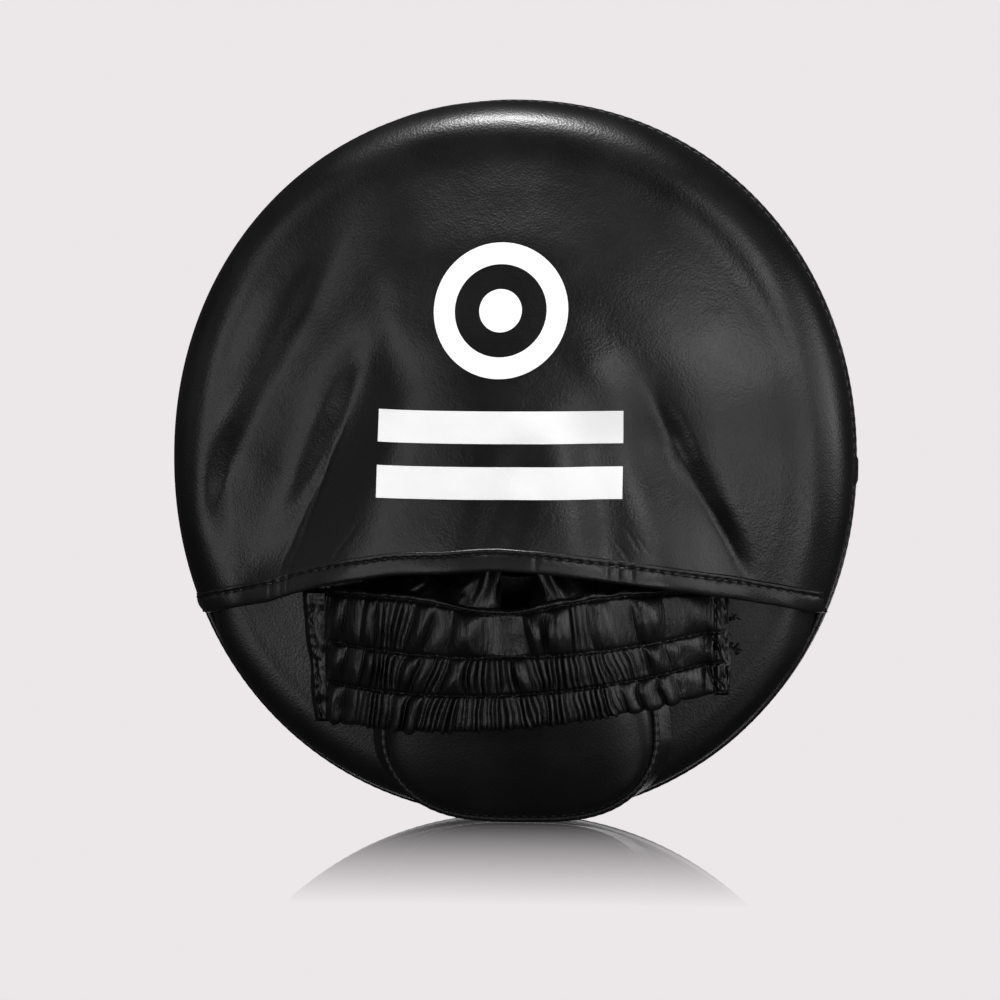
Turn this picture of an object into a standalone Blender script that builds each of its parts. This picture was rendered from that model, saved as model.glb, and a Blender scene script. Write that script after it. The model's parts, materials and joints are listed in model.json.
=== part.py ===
"""Round boxing focus mitt: a padded disc with a hand pocket, an elastic hand strap and a heel pad on its back.

The mitt stands upright as a trainer holds it. +Z is up (fingertips), +Y is the way the target face looks, and the hand
goes in on the -Y side. The origin is the palm point: the crown of the rear panel, at the centre of the round pad.
Each piece is one object. A distance called inset runs in from the pad's outline, and a distance called lift runs from
the rear panel's surface towards the hand.
"""

import math

import bmesh
import bpy
import numpy as np

MM = 0.001

# Outline of the round pad, a superellipse a little taller than it is wide.
HALF_WIDTH = 105 * MM
HALF_HEIGHT = 111.5 * MM
OUTLINE_POWER = 2.07
STATIONS = 48

# Build-up of the pad, from the palm point (y = 0) towards the target.
LEATHER = 1.5 * MM
GAP = 0.3 * MM
HOOD_GAP = 1.3 * MM  # between the hood and the rear panel under it
CROWN = 6 * MM  # how far the rear panel bulges at its centre
REAR_ROLL = 13 * MM  # width of the rounded rear rim
REAR_SEAM_Y = 15.9 * MM
FRONT_SEAM_Y = 32.1 * MM
FACE_Y = 42 * MM
FACE_ROLL = 12 * MM
TARGET_RAISE = 1.2 * MM
TARGET_INSET = 45 * MM  # where the sewn target circle begins
PIPING_RADIUS = 1.1 * MM

# Hood over the fingers.
HEM_MIDDLE_Z = -31.5 * MM
HEM_SAG = 15 * MM
HEM_POWER = 1.45
HEM_HALF_WIDTH = 95 * MM
TENT_LIFT = 17 * MM
HUMP_LIFT = 21 * MM
HUMP_X = -2 * MM
HEM_BAND = 5.8 * MM

# Elastic hand strap: gathered leather over three elastic tapes, on a lining.
STRAP_MIDDLE_X = 1.8 * MM
STRAP_HALF_WIDTH = 59.2 * MM
STRAP_UPPER_Z = -42.9 * MM  # height of the upper edge at the sewn ends
STRAP_UPPER_BOW = 3.4 * MM
STRAP_LOWER_Z = -77.4 * MM
STRAP_LOWER_TILT = 3.8 * MM
STRAP_LOWER_BOW = 6 * MM
STRAP_END_LIFT = 5.4 * MM
STRAP_ARCH = 25 * MM
STRAP_COVER = 1.4 * MM
ELASTIC = 1.0 * MM
STRAP_LINING = 0.8 * MM
ROWS = 3

# Heel pad under the heel of the palm.
HEEL_X = 4 * MM
HEEL_Z = -84.5 * MM
HEEL_HALF_WIDTH = 41 * MM
HEEL_HALF_HEIGHT = 25.5 * MM
HEEL_POWER = 3
HEEL_FLARE = 5 * MM  # how far the foot of the side wall spreads to each side
HEEL_WALL = 5 * MM
HEEL_PUFF = 9.5 * MM
FOOT_CLEARANCE = 1.6 * MM  # between the wall's foot and the rolled rim it crosses

# Inner cuff that joins the strap's upper edge to the hand pocket.
CUFF_HEIGHT = 16 * MM
CUFF_DROP = 11 * MM

# Palm cushion inside the hand pocket.
PALM_X = 3 * MM
PALM_Z = -8 * MM
PALM_RADIUS = 27 * MM
PALM_LIFT = 12 * MM


# ---------------------------------------------------------------- scene and materials


def clear_scene():
    for obj in list(bpy.data.objects):
        bpy.data.objects.remove(obj, do_unlink=True)


def material(name, colour, roughness, metallic=0.0):
    made = bpy.data.materials.new(name)
    made.use_nodes = True
    shader = made.node_tree.nodes["Principled BSDF"]
    shader.inputs["Base Color"].default_value = (*colour, 1.0)
    shader.inputs["Roughness"].default_value = roughness
    shader.inputs["Metallic"].default_value = metallic
    return made


def make_materials():
    black = (0.012, 0.012, 0.013)
    return {
        "leather": material("black_leather", black, 0.42),
        "soft_leather": material("soft_black_leather", (0.01, 0.01, 0.011), 0.34),
        "lining": material("black_lining", (0.02, 0.02, 0.022), 0.8),
        "elastic": material("black_elastic", (0.03, 0.03, 0.032), 0.75),
        "shock_foam": material("shock_foam", (0.05, 0.05, 0.055), 0.9),
        "core_foam": material("core_foam", (0.62, 0.6, 0.52), 0.9),
        "backing": material("backing_board", (0.12, 0.12, 0.13), 0.7),
    }


# ---------------------------------------------------------------- mesh builders


def finish_mesh(name, points, faces, look):
    """One closed object from points and faces, with its faces turned outwards and its curved parts shaded smooth."""
    mesh = bpy.data.meshes.new(name)
    mesh.from_pydata([tuple(p) for p in points], [], faces)
    work = bmesh.new()
    work.from_mesh(mesh)
    bmesh.ops.remove_doubles(work, verts=work.verts, dist=1e-6)
    bmesh.ops.recalc_face_normals(work, faces=work.faces)
    work.to_mesh(mesh)
    work.free()
    mesh.shade_smooth()
    mesh.set_sharp_from_angle(angle=math.radians(40))
    mesh.materials.append(look)
    made = bpy.data.objects.new(name, mesh)
    bpy.context.scene.collection.objects.link(made)
    return made


def rings_solid(name, rings, look, hollow):
    """Joins closed rings of points into a solid. A hollow one runs round to its first ring again, the other is capped."""
    points = [p for ring in rings for p in ring]
    size = len(rings[0])
    faces = []
    for i in range(len(rings) if hollow else len(rings) - 1):
        a, b = i * size, (i + 1) % len(rings) * size
        for j in range(size):
            k = (j + 1) % size
            faces.append((a + j, a + k, b + k, b + j))
    if not hollow:
        faces.append(tuple(range(size)))
        faces.append(tuple(range((len(rings) - 1) * size, len(rings) * size)))
    return finish_mesh(name, points, faces, look)


def slab(name, outer, inner, look):
    """A closed sheet between two grids of points, each of rows by columns by 3."""
    rows, columns = outer.shape[:2]
    count = rows * columns

    def corner(i, j):
        return i * columns + j

    faces = []
    for i in range(rows - 1):
        for j in range(columns - 1):
            a, b, c, d = corner(i, j), corner(i, j + 1), corner(i + 1, j + 1), corner(i + 1, j)
            for half in ((a, b, c), (a, c, d)):
                faces.append(half)
                faces.append(tuple(count + k for k in reversed(half)))
    border = [corner(0, j) for j in range(columns)]
    border += [corner(i, columns - 1) for i in range(1, rows)]
    border += [corner(rows - 1, j) for j in range(columns - 2, -1, -1)]
    border += [corner(i, 0) for i in range(rows - 2, 0, -1)]
    for a, b in zip(border, border[1:] + border[:1]):
        faces.append((a, b, count + b, count + a))
    points = np.concatenate([outer.reshape(-1, 3), inner.reshape(-1, 3)])
    return finish_mesh(name, points, faces, look)


def closed_cord(name, points, radius, look):
    """A round cord along a closed line of points."""
    curve = bpy.data.curves.new(name, "CURVE")
    curve.dimensions = "3D"
    curve.bevel_depth = radius
    curve.bevel_resolution = 1
    spline = curve.splines.new("POLY")
    spline.points.add(len(points) - 1)
    for knot, place in zip(spline.points, points):
        knot.co = (*place, 1.0)
    spline.use_cyclic_u = True
    curve.materials.append(look)
    made = bpy.data.objects.new(name, curve)
    bpy.context.scene.collection.objects.link(made)
    return made


# ---------------------------------------------------------------- shared surfaces


def radius_share(x, z):
    """0 at the pad's centre and 1 on its outline."""
    return (abs(x / HALF_WIDTH) ** OUTLINE_POWER + abs(z / HALF_HEIGHT) ** OUTLINE_POWER) ** (1 / OUTLINE_POWER)


def outline_point(angle, inset):
    """(x, z) in the direction of an angle from +X towards +Z, this far in from the outline."""
    c, s = math.cos(angle), math.sin(angle)
    reach = (1 - inset / HALF_WIDTH) / radius_share(c, s)
    return reach * c, reach * s


def outline_ring(inset, y):
    """Points round the pad, this far in from its outline."""
    places = [outline_point(2 * math.pi * i / STATIONS, inset) for i in range(STATIONS)]
    return [(x, y, z) for x, z in places]


def inset_at(x, z):
    """How far in from the pad's outline a point is."""
    return (1 - radius_share(x, z)) * HALF_WIDTH


def smooth(value, low, high):
    """0 below low, 1 above high, and an S-curve between them."""
    t = min(1.0, max(0.0, (value - low) / (high - low)))
    return t * t * (3 - 2 * t)


def crown_y(inset):
    return CROWN * ((HALF_WIDTH - inset) / (HALF_WIDTH - REAR_ROLL)) ** 2


def roll_y(inset, start, seam_y, flat_y):
    """A quarter ellipse from the seam, start in from the outline, to the edge of the flat part."""
    along = min(1.0, max(0.0, (REAR_ROLL - inset) / (REAR_ROLL - start)))
    return flat_y + (seam_y - flat_y) * (1 - math.sqrt(1 - along * along))


def rear_y(inset):
    """The rear panel's outer surface."""
    if inset >= REAR_ROLL:
        return crown_y(inset)
    return roll_y(inset, LEATHER + HOOD_GAP, REAR_SEAM_Y, CROWN)


def hood_y(x, z):
    """The hood's outer surface: a rolled rim, a tent rising from it, and a hump over the hand."""
    inset = max(0.0, inset_at(x, z))
    over_panel = LEATHER + HOOD_GAP
    if inset >= REAR_ROLL:
        base = crown_y(inset) - over_panel
    else:
        base = roll_y(inset, 0.0, REAR_SEAM_Y, CROWN - over_panel)
    tent = TENT_LIFT * smooth(inset, 7 * MM, 66 * MM)
    half = (50 - 0.22 * z / MM) * MM
    across = 1 - smooth(abs(x - HUMP_X), 0.3 * half, half)
    along = 1 - smooth(z, 34 * MM, 92 * MM)
    return base - tent - HUMP_LIFT * across * along


def hem_z(x):
    return HEM_MIDDLE_Z - HEM_SAG * abs(x / HEM_HALF_WIDTH) ** HEM_POWER


def surface_grid(flat, height, drop):
    """A grid of points on y = height(x, z), moved into the sheet by drop along the surface's own normal."""
    rows, columns = flat.shape[:2]
    step = 0.2 * MM
    grid = np.zeros((rows, columns, 3))
    for i in range(rows):
        for j in range(columns):
            x, z = flat[i, j]
            y = height(x, z)
            slope_x = (height(x + step, z) - height(x - step, z)) / (2 * step)
            slope_z = (height(x, z + step) - height(x, z - step)) / (2 * step)
            inward = np.array([-slope_x, 1.0, -slope_z])
            inward /= np.linalg.norm(inward)
            grid[i, j] = np.array([x, y, z]) + inward * drop
    return grid


# ---------------------------------------------------------------- the round pad


def make_casing(looks):
    """Leather panels, edge band and pipings of the round pad."""
    leather = looks["leather"]
    turn = [math.radians(a) for a in (0, 22, 45, 68, 90)]
    start = LEATHER + HOOD_GAP

    def rear_profile(depth):
        """(inset, y) from the seam to the centre, depth inside the outer surface."""
        width, height = REAR_ROLL - start, REAR_SEAM_Y - CROWN
        roll = []
        for a in turn:
            across = width - depth
            roll.append((REAR_ROLL - across * math.cos(a), REAR_SEAM_Y - (height - depth) * math.sin(a)))
        return roll + [(i * MM, crown_y(i * MM) + depth) for i in (38, 66, 92)]

    outer, inner = rear_profile(0), rear_profile(LEATHER)
    rings = [outline_ring(*p) for p in outer[::-1] + inner]
    rings_solid("rear_panel", rings, leather, hollow=False)

    band = [(0, REAR_SEAM_Y + 2.8 * MM), (0, FRONT_SEAM_Y - 2.8 * MM)]
    band += [(LEATHER, y) for _, y in band[::-1]]
    rings_solid("edge_band", [outline_ring(*p) for p in band], leather, hollow=True)

    def face_profile(depth):
        reach, rise = FACE_ROLL - GAP - depth, FACE_Y - FRONT_SEAM_Y - depth
        return [(FACE_ROLL - reach * math.cos(a), FRONT_SEAM_Y + rise * math.sin(a)) for a in turn]

    edge = TARGET_INSET - GAP
    ring = face_profile(0) + [(edge, FACE_Y), (edge, FACE_Y - LEATHER)] + face_profile(LEATHER)[::-1]
    rings_solid("target_ring_panel", [outline_ring(*p) for p in ring], leather, hollow=True)

    bevel = 1.2 * MM
    top = FACE_Y + TARGET_RAISE
    centre = [
        (TARGET_INSET + bevel, top),
        (TARGET_INSET, top - bevel),
        (TARGET_INSET, FACE_Y - LEATHER),
    ]
    rings_solid("target_centre_panel", [outline_ring(*p) for p in centre], leather, hollow=False)

    for name, y in (("rear_piping", REAR_SEAM_Y), ("front_piping", FRONT_SEAM_Y - 2.8 * MM)):
        line = outline_ring(0.8 * MM, y + 1.4 * MM)
        closed_cord(name, line, PIPING_RADIUS, leather)


def make_foam(looks):
    """Three layers between the panels: firm board at the hand, elastic core, shock foam behind the target."""
    clear = LEATHER + GAP
    rim = 2.4 * MM
    board_front, core_front = 16.4 * MM, 28.4 * MM
    turn = [math.radians(a) for a in (0, 30, 60, 90)]

    def corner(reach, y_from, y_to):
        return [(REAR_ROLL - reach * math.cos(a), y_from + (y_to - y_from) * math.sin(a)) for a in turn]

    board_edge = HOOD_GAP + LEATHER + clear
    reach = REAR_ROLL - board_edge
    roll = corner(reach, REAR_SEAM_Y, CROWN + clear)
    crown = [(i * MM, crown_y(i * MM) + clear) for i in (66, 92)]
    board = [(board_edge, board_front)] + roll + crown
    rings_solid("backing_board", [outline_ring(*p) for p in board], looks["backing"], hollow=False)

    core = [(rim, board_front + GAP), (rim, core_front)]
    rings_solid("core_foam", [outline_ring(*p) for p in core], looks["core_foam"], hollow=False)

    reach = REAR_ROLL - rim - 1.3 * MM
    roll = corner(reach, FRONT_SEAM_Y - MM, FACE_Y - clear)
    shock = [(2 * rim, core_front + GAP)] + roll
    rings_solid("shock_foam", [outline_ring(*p) for p in shock], looks["shock_foam"], hollow=False)


# ---------------------------------------------------------------- hood and hand pocket


def hem_corner():
    """Angle below the pad's widest line at which the hem meets the outline."""
    low, high = 0.0, math.radians(60)
    for _ in range(40):
        angle = (low + high) / 2
        x, z = outline_point(-angle, 0)
        if z > hem_z(x):
            low = angle
        else:
            high = angle
    return angle


def hood_flat(columns, rim_rows, inner_rows):
    """(x, z) over the hood, one row along the rim, the last along the hem. The first rows keep to the rolled rim."""
    flat = np.zeros((len(rim_rows) + inner_rows, columns, 2))
    corner = hem_corner()
    half = outline_point(-corner, 0)[0]
    for j in range(columns):
        share = j / (columns - 1)
        rim = np.array(outline_point(math.pi + corner - share * (math.pi + 2 * corner), 0))
        x = (2 * share - 1) * half
        hem = np.array([x, hem_z(x)])
        length = float(np.linalg.norm(hem - rim))
        shrink = min(1.0, length / (50 * MM))
        near = [d * shrink for d in rim_rows]
        rest = np.linspace(near[-1], length, inner_rows + 1)[1:]
        for i, along in enumerate([*near, *rest]):
            flat[i, j] = rim + (hem - rim) * (along / length)
    return flat


def make_hood(looks):
    """Leather hood, its hem binding, the knuckle padding under it and the pocket's lining."""
    rim_rows = [d * MM for d in (0, 0.9, 3, 6.5, 12, 20, 34)]
    flat = hood_flat(33, rim_rows, 7)
    skin = LEATHER
    slab("hood", surface_grid(flat, hood_y, 0), surface_grid(flat, hood_y, skin), looks["leather"])

    under = skin + 2 * GAP
    padding, lining = 2.5 * MM, 0.8 * MM
    small = flat[len(rim_rows) : -1, 8:-8]
    outer, inner = (surface_grid(small, hood_y, d) for d in (under, under + padding))
    slab("knuckle_padding", outer, inner, looks["core_foam"])
    under += padding + GAP
    outer, inner = (surface_grid(small, hood_y, d) for d in (under, under + lining))
    slab("pocket_lining", outer, inner, looks["lining"])

    wrap = 0.8 * MM
    room = 0.7 * MM
    section = [
        (-wrap - room, HEM_BAND),
        (-room, HEM_BAND),
        (-room, -GAP),
        (skin + room, -GAP),
        (skin + room, HEM_BAND),
        (skin + room + wrap, HEM_BAND),
        (skin + room + wrap, -GAP - wrap),
        (-wrap - room, -GAP - wrap),
    ]
    rings = []
    for x in flat[-1, 3:-3, 0]:
        ring = []
        for depth, up in section:
            spot = np.array([[(x, hem_z(x) + up)]])
            ring.append(tuple(surface_grid(spot, hood_y, depth)[0, 0]))
        rings.append(ring)
    rings_solid("hood_hem_binding", rings, looks["leather"], hollow=False)


def lifted(x, z, lift):
    """A point this far off the rear panel's crown, towards the hand. The crown goes on past the rolled rim."""
    return (x, crown_y(inset_at(x, z)) - lift, z)


def palm_ring(reach, lift):
    """A ring round the palm cushion's middle."""
    ring = []
    for i in range(20):
        turn = 2 * math.pi * i / 20
        ring.append(lifted(PALM_X + reach * math.cos(turn), PALM_Z + reach * math.sin(turn), lift))
    return ring


def palm_dome(depth):
    """Rings of the palm cushion, depth inside its outer surface, from its edge to near its top."""
    rings = []
    for angle in (0, 25, 50, 72):
        a = math.radians(angle)
        rise = max(GAP, (PALM_LIFT - depth) * math.sin(a))
        rings.append(palm_ring((PALM_RADIUS - depth) * math.cos(a), rise))
    return rings


def make_palm_cushion(looks):
    cover = palm_dome(0)[::-1] + palm_dome(LEATHER)
    rings_solid("palm_cushion_cover", cover, looks["soft_leather"], hollow=False)
    foot = [palm_ring(PALM_RADIUS * share, GAP) for share in (0.2, 0.6)]
    rings_solid("palm_cushion_foam", foot + palm_dome(LEATHER + GAP), looks["core_foam"], hollow=False)


# ---------------------------------------------------------------- heel pad


def heel_outline(scale, spread=0.0):
    """(x, z) round the heel pad, scaled about its middle and spread to each side."""
    places = []
    for i in range(32):
        angle = 2 * math.pi * i / 32
        c, s = math.cos(angle), math.sin(angle)
        reach = scale * (abs(c) ** HEEL_POWER + abs(s) ** HEEL_POWER) ** (-1 / HEEL_POWER)
        places.append((HEEL_X + (HEEL_HALF_WIDTH + spread) * reach * c, HEEL_Z + HEEL_HALF_HEIGHT * reach * s))
    return places


def heel_ring(scale, lift):
    return [lifted(x, z, lift) for x, z in heel_outline(scale)]


def heel_foot(scale):
    """A ring just off the rear panel, which follows its rolled rim."""
    return [(x, rear_y(inset_at(x, z)) - FOOT_CLEARANCE, z) for x, z in heel_outline(scale, HEEL_FLARE)]


def heel_dome(depth, base):
    """Rings of the puffed top, depth inside its outer surface, from its edge to near its middle."""
    rings = []
    for angle in (0, 20, 42, 66, 82):
        a = math.radians(angle)
        shrink = 1 - depth / HEEL_HALF_HEIGHT
        rings.append(heel_ring(shrink * math.cos(a), base + (HEEL_PUFF - depth) * math.sin(a)))
    return rings


def make_heel_pad(looks):
    """Side wall, piping, puffed cover and the foam inside."""
    wall_in = 1 - LEATHER / HEEL_HALF_HEIGHT
    wall = [heel_foot(1), heel_ring(1, HEEL_WALL), heel_ring(wall_in, HEEL_WALL), heel_foot(wall_in)]
    rings_solid("heel_pad_wall", wall, looks["leather"], hollow=True)
    seam = HEEL_WALL + GAP + PIPING_RADIUS
    closed_cord("heel_pad_piping", heel_ring(1.0, seam), PIPING_RADIUS, looks["leather"])
    base = seam + PIPING_RADIUS + GAP
    outer, inner = heel_dome(0, base), heel_dome(LEATHER, base)
    rings_solid("heel_pad_cover", outer[::-1] + inner, looks["soft_leather"], hollow=False)
    foam_edge = 1 - (LEATHER + 4 * GAP) / HEEL_HALF_HEIGHT
    foam = [heel_ring(share * foam_edge, GAP) for share in (0.15, 0.45, 0.75, 1)]
    foam += [heel_ring(foam_edge, HEEL_WALL)]
    foam += heel_dome(LEATHER + 2.2 * MM, base)
    rings_solid("heel_pad_foam", foam, looks["core_foam"], hollow=False)


# ---------------------------------------------------------------- hand strap


def strap_x(share):
    return STRAP_MIDDLE_X + STRAP_HALF_WIDTH * share


def strap_lift(share):
    """Outer surface of the strap off the rear panel: flat at its sewn ends, arched over the hand."""
    return STRAP_END_LIFT + STRAP_ARCH * (1 - abs(share) ** 2.4)


def strap_z(share, down):
    """Height of a line along the strap: down is 0 on its upper edge and 1 on its lower edge."""
    slack = 1 - share * share
    upper = STRAP_UPPER_Z - STRAP_UPPER_BOW * slack * slack
    lower = STRAP_LOWER_Z + STRAP_LOWER_TILT * share - STRAP_LOWER_BOW * slack
    return upper + (lower - upper) * down


def strap_sheet(name, depth, thick, downs, look, reach=1.0):
    """One layer of the strap between two lines along it, depth inside its outer surface."""
    shares = np.linspace(-reach, reach, 21)
    grids = []
    for inside in (depth, depth + thick):
        grid = np.zeros((len(downs), len(shares), 3))
        for i, down in enumerate(downs):
            for j, share in enumerate(shares):
                grid[i, j] = lifted(strap_x(share), strap_z(share, down), strap_lift(share) - inside)
        grids.append(grid)
    return slab(name, *grids, look)


def make_strap(looks):
    """Gathered cover, three elastic tapes in its channels, and the lining."""
    strap_sheet("strap_cover", 0, STRAP_COVER, (0, 1 / 3, 2 / 3, 1), looks["soft_leather"])
    depth = STRAP_COVER + GAP
    for row, name in enumerate(("upper", "middle", "lower")):
        ends = ((row + 0.14) / ROWS, (row + 0.86) / ROWS)
        strap_sheet("elastic_" + name, depth, ELASTIC, ends, looks["elastic"], 0.98)
    depth += ELASTIC + GAP
    strap_sheet("strap_lining", depth, STRAP_LINING, (0.02, 0.5, 0.98), looks["lining"], 0.98)


def make_strap_tabs(looks):
    """Folded ends of the strap, sewn flat to the rear panel."""
    for name, side, width in (("strap_tab_left", -1, 6.5 * MM), ("strap_tab_right", 1, 5 * MM)):
        start = strap_x(side) + side * GAP
        grids = []
        for lift in (2.6 * MM, GAP):
            grid = np.zeros((5, 3, 3))
            for i in range(5):
                for j in range(3):
                    x = start + side * width * j / 2
                    grid[i, j] = lifted(x, strap_z(side, i / 4), lift)
            grids.append(grid)
        slab(name, *grids, looks["leather"])


def make_cuffs(looks):
    """Gathered inner cuff, in two halves, from the strap's upper edge up and back into the hand pocket."""
    for name, low, high in (("inner_cuff_left", -0.7, -0.06), ("inner_cuff_right", 0.04, 0.66)):
        shares = np.linspace(low, high, 9)
        grids = []
        for inside in (0.2 * MM, 1.4 * MM):
            grid = np.zeros((6, len(shares), 3))
            for i in range(6):
                up = i / 5
                for j, share in enumerate(shares):
                    z = strap_z(share, 0) + GAP + CUFF_HEIGHT * up
                    drop = CUFF_DROP * up ** 1.2
                    grid[i, j] = lifted(strap_x(share), z, strap_lift(share) - inside - drop)
            grids.append(grid)
        slab(name, *grids, looks["soft_leather"])


def main():
    clear_scene()
    looks = make_materials()
    make_casing(looks)
    make_foam(looks)
    make_hood(looks)
    make_palm_cushion(looks)
    make_heel_pad(looks)
    make_strap(looks)
    make_strap_tabs(looks)
    make_cuffs(looks)


main()
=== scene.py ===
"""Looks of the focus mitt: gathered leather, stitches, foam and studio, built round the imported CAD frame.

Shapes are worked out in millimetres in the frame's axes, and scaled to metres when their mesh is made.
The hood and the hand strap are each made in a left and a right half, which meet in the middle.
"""

import json
import math

import bpy
import numpy as np
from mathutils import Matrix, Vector

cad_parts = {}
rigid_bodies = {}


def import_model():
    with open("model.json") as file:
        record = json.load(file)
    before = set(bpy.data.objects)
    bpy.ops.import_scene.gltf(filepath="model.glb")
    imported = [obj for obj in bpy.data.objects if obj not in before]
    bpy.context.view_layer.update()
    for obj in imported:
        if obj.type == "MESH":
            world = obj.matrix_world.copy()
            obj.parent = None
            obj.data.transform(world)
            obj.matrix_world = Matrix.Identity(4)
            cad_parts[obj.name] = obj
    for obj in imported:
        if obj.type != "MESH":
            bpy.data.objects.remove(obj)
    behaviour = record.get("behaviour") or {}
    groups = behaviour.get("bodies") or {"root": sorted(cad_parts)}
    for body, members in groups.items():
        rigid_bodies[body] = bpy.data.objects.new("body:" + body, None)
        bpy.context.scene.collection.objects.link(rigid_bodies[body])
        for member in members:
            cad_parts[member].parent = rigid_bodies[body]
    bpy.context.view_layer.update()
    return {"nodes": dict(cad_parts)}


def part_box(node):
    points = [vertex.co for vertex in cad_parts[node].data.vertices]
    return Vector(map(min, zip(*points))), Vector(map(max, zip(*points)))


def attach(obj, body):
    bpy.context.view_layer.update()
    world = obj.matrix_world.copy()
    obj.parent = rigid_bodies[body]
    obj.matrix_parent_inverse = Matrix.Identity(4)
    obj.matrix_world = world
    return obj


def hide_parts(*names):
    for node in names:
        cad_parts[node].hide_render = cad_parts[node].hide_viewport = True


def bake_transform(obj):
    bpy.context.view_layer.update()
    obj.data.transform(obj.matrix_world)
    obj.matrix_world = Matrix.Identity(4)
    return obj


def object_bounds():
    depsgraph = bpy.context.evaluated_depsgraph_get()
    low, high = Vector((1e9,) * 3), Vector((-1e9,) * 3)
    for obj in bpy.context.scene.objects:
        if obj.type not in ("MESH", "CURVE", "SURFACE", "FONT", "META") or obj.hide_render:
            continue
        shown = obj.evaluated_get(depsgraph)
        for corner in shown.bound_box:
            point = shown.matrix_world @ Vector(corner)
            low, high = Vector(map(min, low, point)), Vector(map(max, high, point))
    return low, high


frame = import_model()
MM = 0.001
PAD, HOOD, STRAP = "pad", "hood", "strap"
SIDES = {"left": -1, "right": 1}


# --- sizes, from the frame


def low(node, axis):
    """Lowest coordinate of a CAD node along an axis, in millimetres."""
    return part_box(node)[0][axis] / MM


def high(node, axis):
    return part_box(node)[1][axis] / MM


def centre_of(node, axis):
    return (low(node, axis) + high(node, axis)) / 2


def half_of(node, axis):
    """Half of a CAD node's length along an axis."""
    return (high(node, axis) - low(node, axis)) / 2


X, Y, Z = 0, 1, 2
HALF_WIDTH = half_of("edge_band", X)
HALF_HEIGHT = half_of("edge_band", Z) - 1.1
OUTLINE_POWER = 2.07
REAR_SEAM_Y = high("hood", Y)
FRONT_SEAM_Y = low("target_ring_panel", Y)
FACE_Y = high("target_ring_panel", Y)
TARGET_Y = high("target_centre_panel", Y)
TARGET_HALF_WIDTH = high("target_centre_panel", X)
CROWN = 6.0
ROLL = 13.0
FACE_ROLL = 12
HOOD_OVER = 2.8
INSIDE = np.array([0.0, 22.0, 0.0])

HEM_MIDDLE_Z = -29.7
HEM_SAG = 15.0
HEM_POWER = 1.45
HEM_HALF_WIDTH = 95

STRAP_X = (low("strap_cover", X), high("strap_cover", X))
STRAP_MIDDLE = centre_of("strap_cover", X)
STRAP_HALF = half_of("strap_cover", X)
HEEL_X = centre_of("heel_pad_cover", X)
HEEL_Z = centre_of("heel_pad_cover", Z)
HEEL_HALF_WIDTH = half_of("heel_pad_cover", X)
HEEL_HALF_HEIGHT = half_of("heel_pad_cover", Z)


# --- small maths


def smooth(value, start, end):
    """0 before start, 1 after end, and an S-curve between them."""
    t = np.clip((value - start) / (end - start), 0, 1)
    return t * t * (3 - 2 * t)


def ramp(value, start, end, ease):
    """0 before start, 1 after end, and straight between them apart from this share eased at either end."""
    t = np.clip((value - start) / (end - start), 0, 1)
    slope = 1 / (1 - ease)
    eased_out = 1 - slope * (1 - t) ** 2 / (2 * ease)
    late = np.where(t > 1 - ease, eased_out, slope * (t - ease / 2))
    return np.where(t < ease, slope * t * t / (2 * ease), late)


def bell(value, width):
    return np.exp(-((value / width) ** 2))


def noise(a, b, cell, seed):
    """Smooth noise from -1 to 1 over a plane, with this cell size."""
    table = np.random.default_rng(seed).uniform(-1, 1, (64, 64))
    u, v = a / cell, b / cell
    i, j = np.floor(u).astype(int), np.floor(v).astype(int)
    fu, fv = u - i, v - j
    fu, fv = fu * fu * (3 - 2 * fu), fv * fv * (3 - 2 * fv)
    i0, i1, j0, j1 = i % 64, (i + 1) % 64, j % 64, (j + 1) % 64
    top = table[i0, j0] * (1 - fu) + table[i1, j0] * fu
    bottom = table[i0, j1] * (1 - fu) + table[i1, j1] * fu
    return top * (1 - fv) + bottom * fv


def from_segment(x, z, start, end):
    """(distance to the side, share along) of points beside a line from start to end."""
    dx, dz = end[0] - start[0], end[1] - start[1]
    length = math.hypot(dx, dz)
    along = ((x - start[0]) * dx + (z - start[1]) * dz) / length**2
    side = ((x - start[0]) * dz - (z - start[1]) * dx) / length
    return side, along


def fold(x, z, start, end, width, taper=0.25):
    """A ridge of height 1 along a line, which fades out at both ends."""
    side, along = from_segment(x, z, start, end)
    return bell(side, width) * smooth(along, -taper, taper) * (1 - smooth(along, 1 - taper, 1 + taper))


def xyz(x, y, z):
    """Points from their coordinates, all stretched to one shape."""
    return np.stack(np.broadcast_arrays(x, y, z), axis=-1)


def full_turn(count):
    return np.linspace(0, 2 * math.pi, count, endpoint=False)


def run_along(path):
    """Length from the start of a line to each of its points."""
    return np.concatenate([[0], np.cumsum(np.linalg.norm(np.diff(path, axis=0), axis=1))])


# --- meshes


def show(mesh, name, material):
    made = bpy.data.objects.new(name, mesh)
    bpy.context.scene.collection.objects.link(made)
    mesh.materials.append(material)
    return made


def build(name, points, faces, look, normals=None):
    """A smooth mesh from points in millimetres, turned right side out."""
    mesh = bpy.data.meshes.new(name)
    points = np.asarray(points, float) * MM
    quads = np.array([f if len(f) == 4 else (*f, f[-1]) for f in faces if len(f) < 5])
    a, b, c, d = (points[quads[:, k]] for k in range(4))
    volume = np.einsum("ij,ij->i", a, np.cross(b, c)).sum() + np.einsum("ij,ij->i", a, np.cross(c, d)).sum()
    if volume < 0:
        faces = [f[::-1] for f in faces]
    mesh.from_pydata(points.tolist(), [], faces)
    mesh.shade_smooth()
    if normals is None:
        mesh.set_sharp_from_angle(angle=math.radians(50))
    else:
        mesh.normals_split_custom_set_from_vertices(normals.tolist())
    return show(mesh, name, LOOKS[look])


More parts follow.
